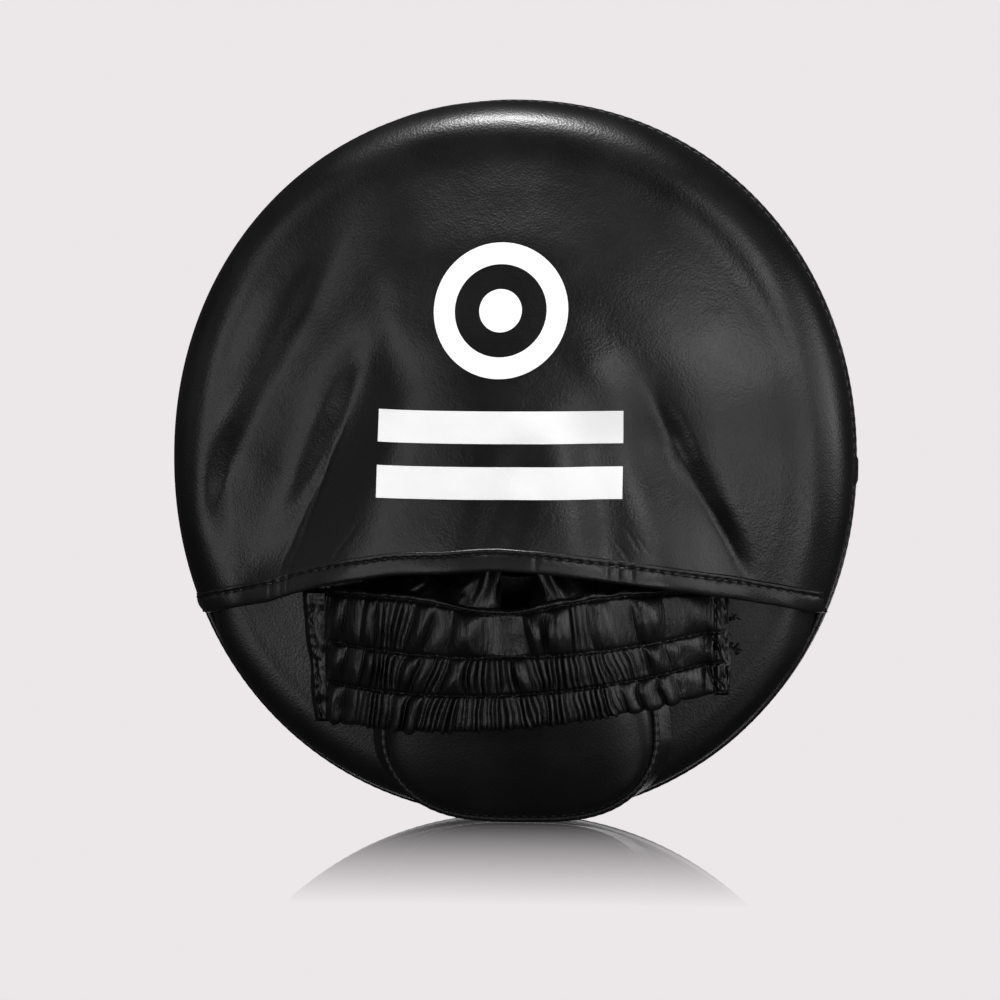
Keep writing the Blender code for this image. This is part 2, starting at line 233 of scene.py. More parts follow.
def stand_in(piece, node):
    """Lets a piece take a CAD node's place on the pad."""
    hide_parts(node)
    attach(piece, PAD)


def grid_normals(grid, wrap=False):
    """Unit normals of a grid of points, away from the inside of the pad."""
    padded = np.concatenate([grid[:, -2:], grid, grid[:, :2]], axis=1) if wrap else grid
    n = np.cross(np.gradient(padded, axis=1), np.gradient(padded, axis=0))
    if wrap:
        n = n[:, 2:-2]
    n /= np.maximum(np.linalg.norm(n, axis=2, keepdims=True), 1e-9)
    if np.einsum("ijk,ijk->ij", n, grid - INSIDE).mean() < 0:
        n = -n
    return n


def both(outer, inner):
    """The points of two grids in one list."""
    return np.concatenate([outer.reshape(-1, 3), inner.reshape(-1, 3)])


def shell_faces(rows, columns, wrap=False, capped=False):
    """Faces of two grids joined along their borders. If capped, each one's last row is filled instead."""
    count = rows * columns
    index = np.arange(count).reshape(rows, columns)
    if wrap:
        index = np.concatenate([index, index[:, :1]], axis=1)
    quads = np.stack([index[:-1, :-1], index[:-1, 1:], index[1:, 1:], index[1:, :-1]], -1).reshape(-1, 4)
    faces = quads.tolist() + (quads[:, ::-1] + count).tolist()

    def join(line):
        line = line.tolist()
        faces.extend([a, b, b + count, a + count] for a, b in zip(line[:-1], line[1:]))

    join(index[0, ::-1])
    if capped:
        loop = index[-1, :-1].tolist()
        faces.append(loop)
        faces.append([k + count for k in reversed(loop)])
    else:
        join(index[-1])
    if not wrap:
        join(index[:, 0])
        join(index[::-1, -1])
    return faces


def sheet(name, outer, thick, look, wrap=False, capped=False):
    """A closed sheet: a grid of points, and a copy of it further in along its own normals."""
    inner = outer - grid_normals(outer, wrap) * thick
    return build(name, both(outer, inner), shell_faces(*outer.shape[:2], wrap, capped), look)


def bend(piece):
    """Bakes a piece's placement into its mesh."""
    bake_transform(piece)


def halves(name, outer, thick, look, node):
    """A sheet cut down its middle column into a left and a right half, which meet there. Hides the CAD node
    that they replace.
    """
    normals = grid_normals(outer)
    inner = outer - normals * thick
    middle = outer.shape[1] // 2
    made = []
    for side, part in (("left", slice(None, middle + 1)), ("right", slice(middle, None))):
        points = both(outer[:, part], inner[:, part])
        facing = both(normals[:, part], -normals[:, part])
        piece = build(f"{name}_{side}", points, shell_faces(*outer[:, part].shape[:2]), look, facing)
        bend(piece)
        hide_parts(node)
        made.append(piece)
    return made


def capsules(name, starts, ends, away, radius, look="thread"):
    """Short threads: a six-sided bead for each, pressed a little flat against the leather."""
    sides = 6
    turns = full_turn(sides)
    shape = ((0.0, 0.35), (0.14, 0.85), (0.5, 1.0), (0.86, 0.85), (1.0, 0.35))
    points, faces = [], []
    for start, end, n in zip(starts, ends, away):
        along = end - start
        length = np.linalg.norm(along)
        if length < 1e-6:
            continue
        across = np.cross(along / length, n)
        base = len(points)
        for share, swell in shape:
            lift = n * radius * 0.8 * math.sin(math.pi * share)
            for t in turns:
                off = across * math.cos(t) * 1.25 + n * math.sin(t) * 0.8
                points.append(start + along * share + lift + off * radius * swell)
        tip = base + sides * (len(shape) - 1)
        for ring in range(base, tip, sides):
            for j in range(sides):
                a, b = ring + j, ring + (j + 1) % sides
                faces.append([a, b, b + sides, a + sides])
        faces.append([base + j for j in range(sides)][::-1])
        faces.append([tip + j for j in range(sides)])
    return build(name, points, faces, look)


def stitch_row(path, away, pitch, fill=0.72):
    """(starts, ends, normals) of stitches along a line of points."""
    run = run_along(path)
    count = max(1, int(run[-1] / pitch))
    marks = (np.arange(count) + 0.5) * run[-1] / count
    half = pitch * fill / 2

    def at(where, table):
        return np.stack([np.interp(where, run, table[:, k]) for k in range(3)], axis=1)

    n = at(marks, away)
    return at(marks - half, path), at(marks + half, path), n / np.linalg.norm(n, axis=1, keepdims=True)


def join_rows(rows):
    return tuple(np.concatenate([row[k] for row in rows]) for k in range(3))


def cord(name, path, radius, ripple, pitch):
    """Closed round piping along a line of points, slightly pinched by its stitches."""
    tangent = np.roll(path, -1, axis=0) - np.roll(path, 1, axis=0)
    tangent /= np.linalg.norm(tangent, axis=1, keepdims=True)
    side = np.cross(tangent, path * [1, 0, 1])
    side /= np.linalg.norm(side, axis=1, keepdims=True)
    out = np.cross(side, tangent)
    size = radius * (1 + ripple * np.cos(2 * math.pi * run_along(path) / pitch))
    turn = full_turn(10)
    ring = side[:, None] * np.cos(turn)[None, :, None] + out[:, None] * np.sin(turn)[None, :, None]
    points = path[:, None] + ring * size[:, None, None]
    index = np.arange(points[..., 0].size).reshape(points.shape[:2])
    beside, ahead = np.roll(index, -1, axis=1), np.roll(index, -1, axis=0)
    faces = np.stack([index, beside, np.roll(beside, -1, axis=0), ahead], -1).reshape(-1, 4)
    return build(name, points.reshape(-1, 3), faces.tolist(), "piping")


# --- materials


class Nodes:
    """Adds and links the nodes of a world or a material."""

    def __init__(self, owner):
        owner.use_nodes = True
        self.tree = owner.node_tree

    def put(self, value, socket):
        """Links a node's output to a socket, or sets the socket to a number or a colour."""
        if isinstance(value, bpy.types.NodeSocket):
            self.tree.links.new(value, socket)
        else:
            socket.default_value = value

    def add(self, kind, **inputs):
        node = self.tree.nodes.new(kind)
        for key, value in inputs.items():
            self.put(value, node.inputs[key.replace("_", " ")])
        return node

    def math(self, operation, *values):
        node = self.add("ShaderNodeMath")
        node.operation = operation
        for socket, value in zip(node.inputs, values):
            self.put(value, socket)
        return node.outputs[0]

    def mix_out(self, share, first, second, output):
        """Sends a mix of two shaders to the output node."""
        node = self.add("ShaderNodeMixShader", Fac=share)
        self.put(first.outputs[0], node.inputs[1])
        self.put(second.outputs[0], node.inputs[2])
        self.put(node.outputs[0], self.tree.nodes[output].inputs["Surface"])


class Look(Nodes):
    """A material, whose nodes read a piece's own coordinates in metres."""

    def __init__(self, name):
        self.material = bpy.data.materials.new(name)
        super().__init__(self.material)
        self.shader = self.tree.nodes["Principled BSDF"]
        self.place = self.add("ShaderNodeTexCoord").outputs["Object"]

    def shade(self, **inputs):
        for key, value in inputs.items():
            self.put(value, self.shader.inputs[key.replace("_", " ")])
        return self.material

    def noise(self, scale, detail=3.0, roughness=0.5):
        made = self.add("ShaderNodeTexNoise", Vector=self.place, Scale=scale, Detail=detail,
                        Roughness=roughness)
        return made.outputs["Fac"]

    def cells(self, size, feature="F1"):
        made = self.add("ShaderNodeTexVoronoi", Vector=self.place, Scale=1 / size)
        made.feature = feature
        return made.outputs["Distance"]

    def ramp(self, value, *stops):
        made = self.add("ShaderNodeValToRGB", Fac=value)
        for point, (place, colour) in zip(made.color_ramp.elements, stops):
            point.position = place
            point.color = (*colour, 1.0)
        return made.outputs["Color"]

    def range(self, value, low_out, high_out, low_in=0.3, high_in=0.7):
        ends = {"From_Min": low_in, "From_Max": high_in, "To_Min": low_out, "To_Max": high_out}
        return self.add("ShaderNodeMapRange", Value=value, **ends).outputs["Result"]

    def bump(self, height, strength, distance, under=None):
        made = self.add("ShaderNodeBump", Height=height, Strength=strength, Distance=distance)
        if under is not None:
            self.put(under, made.inputs["Normal"])
        return made.outputs["Normal"]


PEBBLE = 0.00068
# Darker and lighter shades of a colour, as factors. The darker one is painted shade in the weave, the foam's
# pits and the thread's twist; the lighter one is painted light on the weave's raised parts, and also the
# lighter worn patches of leather.
DARK, LIGHT = 0.6, 1.5


def shade_of(colour, factor):
    return tuple(c * factor for c in colour)


def leather(name, colour, rough, grain, crinkle=0.0):
    """Coated leather: fine pebbled grain, soft creases, uneven gloss. crinkle adds fine upright wrinkles."""
    n = Look(name)
    patches = n.noise(38.0, 4.0)
    worn = tuple(c * LIGHT + 0.0005 for c in colour)
    under = None
    if crinkle:
        upright = n.add("ShaderNodeMapping", Vector=n.place, Scale=(1.0, 1.0, 0.22)).outputs["Vector"]
        lines = n.add("ShaderNodeTexNoise", Vector=upright, Scale=620.0, Detail=4.0, Roughness=0.6,
                      Distortion=0.6)
        under = n.bump(lines.outputs["Fac"], crinkle, 0.0006)
    creases = n.bump(n.noise(170.0, 5.0, 0.62), 0.13 * grain, 0.0004, under)
    pores = n.bump(n.cells(PEBBLE, "SMOOTH_F1"), 0.30 * grain, 0.00022, creases)
    return n.shade(
        Base_Color=n.ramp(patches, (0.38, colour), (0.72, worn)),
        Roughness=n.range(patches, rough - 0.04, rough + 0.05),
        Normal=n.bump(n.noise(420.0, 2.0), 0.12 * grain, 0.0002, pores),
    )


def woven(name, colour, pitch):
    """Flat weave of lining cloth or elastic tape, with painted shade in the low parts of the weave and
    painted light on its raised parts.
    """
    n = Look(name)
    place = n.add("ShaderNodeSeparateXYZ", Vector=n.place).outputs
    waves = [n.math("SINE", n.math("MULTIPLY", place[axis], 2 * math.pi / pitch)) for axis in ("X", "Z")]
    lit = n.range(n.math("MULTIPLY", *waves), 0.0, 1.0, -1.0, 1.0)
    return n.shade(
        # Painted light and shade: the colour is darker where the weave's bump is low and lighter where it is
        # high.
        Base_Color=n.ramp(lit, (0.0, shade_of(colour, DARK)), (1.0, shade_of(colour, LIGHT))),
        Roughness=n.range(n.noise(300.0), 0.72, 0.9),
        Sheen_Weight=0.15,
        Normal=n.bump(lit, 0.5, 0.0003),
    )


def foam(name, colour, cell):
    """Closed-cell foam: small pits, with painted shade in each pit."""
    n = Look(name)
    pits = n.cells(cell)
    return n.shade(
        # Painted shade: the colour darkens where the pits' bump is low.
        Base_Color=n.ramp(pits, (0.1, shade_of(colour, DARK)), (0.7, colour)),
        Roughness=n.range(n.noise(200.0), 0.85, 0.97),
        Normal=n.bump(pits, 0.6, 0.0004),
    )


def thread_look(name, colour):
    """Waxed, twisted thread, with painted shade in the grooves of its twist."""
    n = Look(name)
    twist = n.add("ShaderNodeTexWave", Vector=n.place, Scale=1500.0, Distortion=2.0).outputs["Fac"]
    return n.shade(
        # Painted shade: the colour darkens where the twist's bump is low.
        Base_Color=n.ramp(twist, (0.0, shade_of(colour, DARK)), (1.0, colour)),
        Roughness=n.range(n.noise(500.0), 0.6, 0.75),
        Specular_IOR_Level=0.25,
        Normal=n.bump(twist, 0.4, 0.0001),
    )


def print_look(name):
    """White screen print with a faint painted glow that makes it brighter than its lamps alone would, and the
    leather's grain showing through it.
    """
    n = Look(name)
    patches = n.noise(160.0, 4.0)
    return n.shade(
        Base_Color=n.ramp(patches, (0.3, (0.93, 0.93, 0.93)), (0.6, (0.97, 0.97, 0.97))),
        Roughness=n.range(patches, 0.45, 0.58),
        # Painted glow: the print emits a little light of its own so that it looks brighter.
        Emission_Color=(1, 1, 1, 1),
        Emission_Strength=0.25,
        Normal=n.bump(n.cells(0.0009, "SMOOTH_F1"), 0.12, 0.0002),
    )


BLACK = (0.0028, 0.0028, 0.0031)
LOOKS = {
    "hood": leather("hood_leather", BLACK, 0.36, 0.9),
    "panel": leather("panel_leather", BLACK, 0.37, 0.9),
    "band": leather("band_leather", BLACK, 0.40, 0.8),
    "target": leather("target_leather", (0.005, 0.005, 0.0055), 0.45, 1.1),
    "hem": leather("hem_leather", (0.0045, 0.0045, 0.005), 0.36, 0.7),
    "piping": leather("piping_leather", BLACK, 0.36, 0.5),
    "strap": leather("strap_leather", (0.0032, 0.0032, 0.0035), 0.35, 0.6, crinkle=0.5),
    "heel": leather("heel_leather", BLACK, 0.36, 0.6),
    "lining": woven("lining_cloth", (0.006, 0.006, 0.007), 0.0009),
    "elastic": woven("elastic_tape", (0.012, 0.012, 0.013), 0.0011),
    "thread": thread_look("black_thread", (0.003, 0.003, 0.0033)),
    "band_thread": thread_look("grey_thread", (0.13, 0.13, 0.13)),
    "print": print_look("white_print"),
    "core": foam("core_foam_look", (0.62, 0.60, 0.52), 0.0012),
    "shock": foam("shock_foam_look", (0.05, 0.05, 0.055), 0.0008),
    "board": foam("board_look", (0.12, 0.12, 0.13), 0.0006),
}


# --- the pad's own surfaces

ANGLES = full_turn(320)


def radius_share(x, z):
    """0 at the pad's centre and 1 on its outline."""
    p = OUTLINE_POWER
    return (np.abs(x / HALF_WIDTH) ** p + np.abs(z / HALF_HEIGHT) ** p) ** (1 / p)


def outline(angle, inset):
    """(x, z) in the direction of an angle from +X towards +Z, this far in from the outline."""
    c, s = np.cos(angle), np.sin(angle)
    reach = (1 - inset / HALF_WIDTH) / radius_share(c, s)
    return reach * c, reach * s


def inset_at(x, z):
    return (1 - radius_share(x, z)) * HALF_WIDTH


def crown_y(inset):
    return CROWN * ((HALF_WIDTH - inset) / (HALF_WIDTH - ROLL)) ** 2


def roll_y(inset, start, seam, flat):
    """A quarter ellipse from the seam, start in from the outline, to the edge of the flat part."""
    along = np.clip((ROLL - inset) / (ROLL - start), 0, 1)
    return flat + (seam - flat) * (1 - np.sqrt(1 - along * along))


def roll_start(z):
    """How far in from the outline the rear panel starts. It is further in under the hood."""
    return 0.7 + (HOOD_OVER - 0.7) * smooth(z, -60, -42)


def rear_surface(x, z):
    """The rear panel's outer surface."""
    inset = inset_at(x, z)
    flat = np.where(inset >= ROLL, crown_y(inset), roll_y(inset, roll_start(z), REAR_SEAM_Y, CROWN))
    return flat - 0.25 * noise(x, z, 23, 5) * smooth(inset, 4, 20)


def make_rear_panel():
    turn = np.linspace(0, math.pi / 2, 16)
    start = roll_start(outline(ANGLES, 1.0)[1])[None, :]
    roll = start + (ROLL - start) * (1 - np.cos(turn))[:, None]
    rest = np.concatenate([np.linspace(ROLL, 97, 44)[1:], [101.0, 104.0]])[:, None] + 0 * start
    x, z = outline(ANGLES, np.concatenate([roll, rest]))
    grid = xyz(x, rear_surface(x, z), z)
    piece = sheet("rear_panel_leather", grid, 1.3, "panel", wrap=True, capped=True)
    stand_in(piece, "rear_panel")


def make_edge_band():
    """The band bulges between its seams, and its two ends overlap in a seam at the pad's right side."""
    middle = centre_of("edge_band", Y)
    half = half_of("edge_band", Y) + 0.6
    stitched = 0.74
    pitch = 3.2
    turn = np.linspace(-1, 1, 17)[:, None]
    mean_radius = 107
    arc = np.arctan2(np.sin(ANGLES), np.cos(ANGLES)) * mean_radius
    lap = smooth(arc, -7.0, -6.2) * (1 - smooth(arc, 0.6, 1.2))
    puff = 0.95 * (1 - turn**4) + 0.14 * noise(arc, turn * 6, 9, 11) * (1 - turn**2)
    pinch = 0.12 * bell(np.abs(turn) - stitched, 0.09) * (0.6 + 0.4 * np.cos(2 * math.pi * arc / pitch))
    x, z = outline(ANGLES, 0.75 - puff + pinch - 0.75 * lap)
    piece = sheet("edge_band_leather", xyz(x, middle + half * turn, z), 1.2, "band", wrap=True)
    stand_in(piece, "edge_band")
    x, z = outline(np.linspace(0, 2 * math.pi, 1400), 0.12)
    paths = [xyz(x, middle + half * share, z) for share in (-stitched, stitched)]
    rows = [stitch_row(path, xyz(x, 0, z), pitch) for path in paths]
    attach(capsules("edge_band_stitches", *join_rows(rows), 0.2, "band_thread"), PAD)


def make_pipings():
    x, z = outline(full_turn(900), 1.05)
    for node in ("rear_piping", "front_piping"):
        piece = cord(node + "_cord", xyz(x, centre_of(node, Y), z), 1.2, ripple=0.03, pitch=3.1)
        stand_in(piece, node)


def target_surface(x, z):
    """The target's outer ring: a rolled edge, then flat with a slight foam swell."""
    inset = inset_at(x, z)
    turned = np.sqrt(np.clip(1 - ((FACE_ROLL - inset) / (FACE_ROLL - 0.3)) ** 2, 0, 1))
    flat = np.where(inset >= FACE_ROLL, FACE_Y, FRONT_SEAM_Y + (FACE_Y - FRONT_SEAM_Y) * turned)
    return flat + 0.35 * noise(x, z, 26, 8) * smooth(inset, 10, 25) * (1 - smooth(inset, 36, 44))


def make_target():
    """The striking side: a rolled outer ring, and a sewn centre circle with two rows of stitches."""
    edge = HALF_WIDTH - TARGET_HALF_WIDTH
    turn = np.linspace(0, math.pi / 2, 16)
    rolled = 0.3 + (FACE_ROLL - 0.3) * (1 - np.cos(turn))
    insets = np.concatenate([rolled, np.linspace(FACE_ROLL, edge - 0.3, 26)[1:]])[:, None]
    x, z = outline(ANGLES, insets)
    y = target_surface(x, z) - 0.8 * bell(insets - edge + 0.3, 2.2)
    ring = sheet("target_ring_leather", xyz(x, y, z), 1.3, "target", wrap=True)
    stand_in(ring, "target_ring_panel")

    outer_row, inner_row = 3.2, 6.4
    border = edge + np.array([0, 0.15, 0.45, 1.0, 2.0, 3.4])
    insets = np.concatenate([border, np.linspace(edge + 5, 99, 26), [103.5]])[:, None]
    y = TARGET_Y - 1.9 * bell(insets - edge, 0.8) - 0.5 * bell(insets - edge - outer_row, 0.8)
    y = y - 0.35 * bell(insets - edge - inner_row, 0.8)
    x, z = outline(ANGLES, insets)
    y = y + 0.1 * noise(x, z, 19, 9) * smooth(insets, edge + 6, edge + 20)
    grid = xyz(x, np.minimum(y, TARGET_Y + 0.25), z)
    centre = sheet("target_centre_leather", grid, 1.3, "target", wrap=True, capped=True)
    stand_in(centre, "target_centre_panel")
    rows = []
    for offset, depth in ((outer_row, 0.45), (inner_row, 0.32)):
        x, z = outline(np.linspace(0, 2 * math.pi, 1400), edge + offset)
        rows.append(stitch_row(xyz(x, TARGET_Y - depth, z), xyz(0 * x, 1.0, 0.0), 3.2))
    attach(capsules("target_stitches", *join_rows(rows), 0.3), PAD)


# --- hood

HUMP_X, HUMP_HEIGHT, TENT_HEIGHT = -2.0, 19, 10.5
# Valleys in the hood: start, end, depth, and half width on the rim's side and on the hand's side.
VALLEYS = (
    ((-49, 66), (-91, -18), 5.4, 8.5, 24.0),
    ((-39.5, 32), (-65.5, -28), 6.0, 7.5, 13.0),
    ((46, 19), (70, -31), 3.7, 4.8, 11.0),
    ((27, 14), (35, -30), 2.3, 9.0, 6.5),
    ((8, 6), (-4, -30), 0.9, 6.5, 6.5),
)
# Ridges in the hood: start, end, height and half width.
RIDGES = (
    ((-39, 64), (-34, 30), 0.6, 7.0),
    ((24, 36), (45, 12), 0.8, 6.0),
    ((54, 8), (62, -28), 0.5, 5.0),
)
# Sharp creases of the leather where a valley runs out: start, end, depth and half width.
CREASES = (
    ((-53, 2), (-64, -28), 0.22, 0.8),
    ((-57, -5), (-68, -31), 0.18, 0.7),
    ((-48, 16), (-58, -10), 0.2, 0.9),
    ((39, -19), (43, -25), 0.14, 0.6),
    ((42, -21), (47, -27), 0.12, 0.6),
    ((36, -23), (40, -28), 0.1, 0.5),
    ((45, -19), (50, -25), 0.1, 0.6),
    ((-44, -18), (-52, -30), 0.12, 0.7),
    ((62, -10), (71, -27), 0.15, 0.8),
)


def hem_z(x):
    """Lower edge of the hood. It sits lower beyond the big fold on its left."""
    kink = -1.6 * smooth(-x, 62, 74) + 1.3 * smooth(-x, 14, 34) * (1 - smooth(-x, 44, 66))
    return HEM_MIDDLE_Z - HEM_SAG * np.abs(x / HEM_HALF_WIDTH) ** HEM_POWER + kink


def hood_surface(x, z):
    """The hood's outer surface: a rolled rim, a tent that rises from it, a hump over the hand, and folds."""
    inset = np.maximum(0, inset_at(x, z))
    puff = HOOD_OVER + 3 * smooth(z, -45, 20)
    soft = smooth(inset, ROLL - 5, ROLL + 8)
    rolled = roll_y(np.minimum(inset, ROLL), 0.0, REAR_SEAM_Y, CROWN - puff)
    base = (1 - soft) * rolled + soft * (crown_y(inset) - puff)
    start = -4 + 14 * smooth(z, 16, 82)
    wide = 1 - smooth(z, 30, 75)
    reach = start + 40 + 16 * wide
    tent = (TENT_HEIGHT + 1.6 * wide) * (ramp(inset, start, reach, 0.3) - ramp(0, start, reach, 0.3))
    half = np.maximum(14, 56.5 - 0.5 * z + 2.5 * noise(z, np.sign(x), 24, 12))
    dome = 1 - ((x - HUMP_X) / half) ** 2
    across = (dome + np.sqrt(dome * dome + 0.012 + 0.3 * smooth(z, 5, 55))) / 2
    along = 1 - ramp(z, -45, 82, 0.3)
    lift = tent + HUMP_HEIGHT * across * along
    folds = 0 * x
    for start, end, depth, rim_width, hand_width in VALLEYS:
        side, _ = from_segment(x, z, start, end)
        width = np.where(side * start[0] < 0, rim_width, hand_width)
        folds = folds - depth * fold(x, z, start, end, width)
    for start, end, height, width in RIDGES:
        folds = folds + height * fold(x, z, start, end, width)
    wander = 0.5 * noise(x, z, 5, 31)
    for start, end, depth, width in CREASES:
        folds = folds - depth * fold(x + wander, z, start, end, width, 0.35)
    inner = smooth(inset, 4, 20)
    slack = 0.4 * noise(x, z, 27, 1) + 0.14 * noise(x, z, 11, 2)
    fine = 0.02 * noise(x + 2 * noise(x, z, 9, 3), z, 2.1, 4)
    return base - lift - (folds + slack) * inner - fine * smooth(inset, 2, 10)


def on_hood(x, z, out=0.0):
    """(points, normals) on the hood, lifted by out."""
    step = 0.15
    slope_x = (hood_surface(x + step, z) - hood_surface(x - step, z)) / (2 * step)
    slope_z = (hood_surface(x, z + step) - hood_surface(x, z - step)) / (2 * step)
    n = xyz(slope_x, -1.0, slope_z)
    n = n / np.linalg.norm(n, axis=-1, keepdims=True)
    return xyz(x, hood_surface(x, z), z) + n * np.asarray(out)[..., None], n


def hem_end(side):
    """Angle below the pad's widest line at which the hem meets the outline on a side."""
    angles = np.linspace(0, 1, 2000)
    x, z = outline(math.pi + angles if side < 0 else -angles, 0)
    return angles[np.argmax(z < hem_z(x))]


LEFT_END, RIGHT_END = hem_end(-1), hem_end(1)
HEM_LEFT = outline(math.pi + LEFT_END, 0)[0] - 0.6
HEM_RIGHT = outline(-RIGHT_END, 0)[0]


def hood_plan(columns, roll_rows, rows):
    """(x, z) over the hood, from the rim to the hem, with its middle column on x = 0."""
    half = columns // 2
    share = np.concatenate([np.linspace(-1, 0, half + 1), np.linspace(0, 1, half + 1)[1:]])
    reach = np.where(share < 0, LEFT_END, RIGHT_END)
    angle = math.pi / 2 - share * (math.pi / 2 + reach)
    rim = np.stack(outline(angle, 0), axis=1)
    hem_x = np.where(share < 0, -share * HEM_LEFT, share * HEM_RIGHT)
    hem = np.stack([hem_x, hem_z(hem_x)], axis=1)
    length = np.linalg.norm(hem - rim, axis=1)
    shrink = np.minimum(1, length / 40)
    turn = np.linspace(0, math.pi / 2, roll_rows)
    near = ROLL * (1 - np.cos(turn))[:, None] * shrink
    rest = np.linspace(0, 1, rows + 1)[1:, None]
    far = near[-1] + rest * (length - near[-1])
    run = (np.concatenate([near, far]) / np.maximum(length, 1e-6))[:, :, None]
    plan = rim + (hem - rim) * run
    return plan[:, :, 0], plan[:, :, 1]


def make_hood():
    columns, rows = ((420, 220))
    x, z = hood_plan(columns, 22, rows)
    grid = xyz(x, hood_surface(x, z), z)
    halves("hood_leather", grid, 1.2, "hood", "hood")
    x, z = hood_plan(90, 8, 46)
    x, z = x[16:-3, 18:-18], z[16:-3, 18:-18]
    padding_depth, lining_depth, pitch = 2.2, 4.9, 22
    quilt = 0.3 * (0.5 * np.cos(2 * math.pi * x / pitch) * np.cos(2 * math.pi * z / pitch))
    padding, _ = on_hood(x, z, -padding_depth - quilt)
    foams = halves("knuckle_padding_foam", padding, 2.3, "core", "knuckle_padding")
    lining, _ = on_hood(x, z, -lining_depth - quilt)
    halves("pocket_lining_cloth", lining, 0.7, "lining", "pocket_lining")


# Section of the hem: height above the hood's edge, and how far it stands off the hood.
HEM_SECTION = (
    (-1.1, -0.5), (-1.3, 0.1), (-1.2, 0.55), (-0.9, 0.85), (-0.4, 1.05), (0.4, 1.15), (1.4, 1.15), (2.4, 1.1),
    (3.3, 1.0), (3.7, 0.85), (4.0, 0.65), (4.3, 0.85), (4.7, 1.0), (5.2, 1.0), (5.55, 0.85), (5.7, 0.5),
    (5.75, -0.1),
)
# Small upright puckers of the hem: place and width.
PUCKERS = ((33, 0.9), (36.5, 0.7), (40.5, 0.9), (-68, 1.0), (-71.5, 0.8), (-66, 0.6), (12, 0.8))
HEM_GROOVE = 4.0


def make_hem():
    """The hood's turned hem: a padded band with a stitched groove near its upper edge."""
    pitch = 3.1
    left = np.linspace(HEM_LEFT - 1.6, 0, 351)
    x = np.concatenate([left, np.linspace(0, HEM_RIGHT - 0.6, 351)[1:]])
    wave = 0.5 + 0.5 * np.cos(2 * math.pi * x / pitch)
    pucker = sum(bell(x - place, width) for place, width in PUCKERS)
    end = smooth(x, HEM_LEFT, HEM_LEFT + 2.5) * (1 - smooth(x, HEM_RIGHT - 2.5, HEM_RIGHT))
    rows = []
    for up, out in HEM_SECTION:
        ripple = 0.06 * noise(x, up * 2, 4.5, 21) + 0.12 * noise(x, up, 13, 22)
        groove = 0.28 * bell(up - HEM_GROOVE, 0.5) * wave
        height = out * (0.45 + 0.55 * end)
        if out > 0.3:
            height = height + (ripple - groove - 0.25 * pucker * bell(up - 2.2, 2.5))
        corner = 4.2 * (1 - math.sqrt(1 - min(1, max(0, 4.6 - up) / 6.0) ** 2)) + 1.2 * smooth(up, 4.7, 5.75)
        place = x + corner * (1 - smooth(x, left[0], left[0] + 12))
        points, _ = on_hood(place, hem_z(place) + up + 0.12 * noise(x, 0, 7, 23), height)
        points[:, 1] += 1.3 * (1 - smooth(x, left[0], left[0] + 1.6))
        rows.append(points)
    grid = np.array(rows)[::-1]
    halves("hood_hem_leather", grid, 1.1, "hem", "hood_hem_binding")
    for name, side in SIDES.items():
        line = x[x * side >= 0]
        path, away = on_hood(line, hem_z(line) + HEM_GROOVE, 0.42)
        bend(capsules("hood_hem_stitches_" + name, *stitch_row(path, away, pitch, 0.66), 0.24))


# The generic mark that stands in for the prints: a plain ring target over two plain bars.
MARK_Z = 47.5
ROUND_PRINTS = {"ring": (14.0, 20.5), "dot": (0.05, 6.5)}
BARS = ((12.4, 4.9, 37.5), (-4.4, 4.9, 37.5))


def print_piece(name, x, z):
    """A thin print on the hood from a grid of places, all on one side of the middle line."""
    outer, n = on_hood(x, z, 0.16)
    piece = build(name, both(outer, outer - n * 0.12), shell_faces(*x.shape), "print")
    bend(piece)


def make_mark():
    for name, side in SIDES.items():
        turn = np.linspace(-math.pi / 2, math.pi / 2, 91)
        for label, radii in ROUND_PRINTS.items():
            radius = np.linspace(*radii, 13)[:, None]
            x, z = side * radius * np.cos(turn), MARK_Z + radius * np.sin(turn)
            print_piece(f"print_{label}_{name}", x, z)
        for k, (middle, half, reach) in enumerate(BARS):
            x, z = np.meshgrid(side * np.linspace(0, reach, 80), middle + np.linspace(half, -half, 18))
            print_piece(f"print_bar_{k + 1}_{name}", x, z)


# --- hand strap

STRAP_SPAN = (STRAP_X[0] + 1.0, STRAP_X[1] + 5.8)
STRAP_END_SEAMS = (64.0, 65.9)
# Height of the frilled upper edge, in rows, and the widths between which a pleat turns into a broad bulge.
LIP = 0.17
PLEAT = (2.3, 3.2)
# Broad bulges of each row, as (middle x, width, height). Fine pleats fill the rest.
BULGES = (
    ((-52.5, 5.5, 3.0), (-46.5, 6.5, 0.9), (-40.8, 5.0, 2.8), (-24.6, 6.4, 3.2), (-18.2, 6.4, 0.8),
     (-9.4, 10.6, 4.2), (2.6, 12.0, -1.7), (11.6, 5.4, 3.6), (18.6, 8.0, 3.4), (31.2, 6.8, 2.0),
     (38, 5.4, 0.4), (45.4, 8.2, 3.6), (51.6, 3.8, 0.0), (59, 10.5, 1.5)),
    ((-52.6, 5.8, 3.0), (-46.8, 5.6, 0.8), (-41.5, 3.4, 2.2), (-28.3, 4.4, 2.8), (-23.6, 3.2, 0.6),
     (-13, 7.0, 2.4), (7.6, 5.0, 2.2), (47.0, 6.4, 3.2), (52.0, 3.2, 1.0), (59, 10.0, 1.1)),
    ((-53.4, 5.8, 3.0), (-48.0, 4.8, 0.7), (-32.0, 4.0, 2.0), (-26.6, 4.6, 2.8), (40, 5.0, 1.7),
     (45.6, 5.2, 2.7), (50.6, 4.4, 2.4), (58, 9.0, 1.6)),
)
LEAN = (3.0, 3.2, 2.6)


def strap_share(x):
    """-1 at the strap's left end, 0 at its middle and 1 at its right end."""
    return (x - STRAP_MIDDLE) / STRAP_HALF


def strap_lift(share):
    """Outer surface of the strap off the rear panel: low at its sewn ends, arched over the hand."""
    return 3.6 + 26.6 * (1 - np.minimum(1, np.abs(share)) ** 2.4)


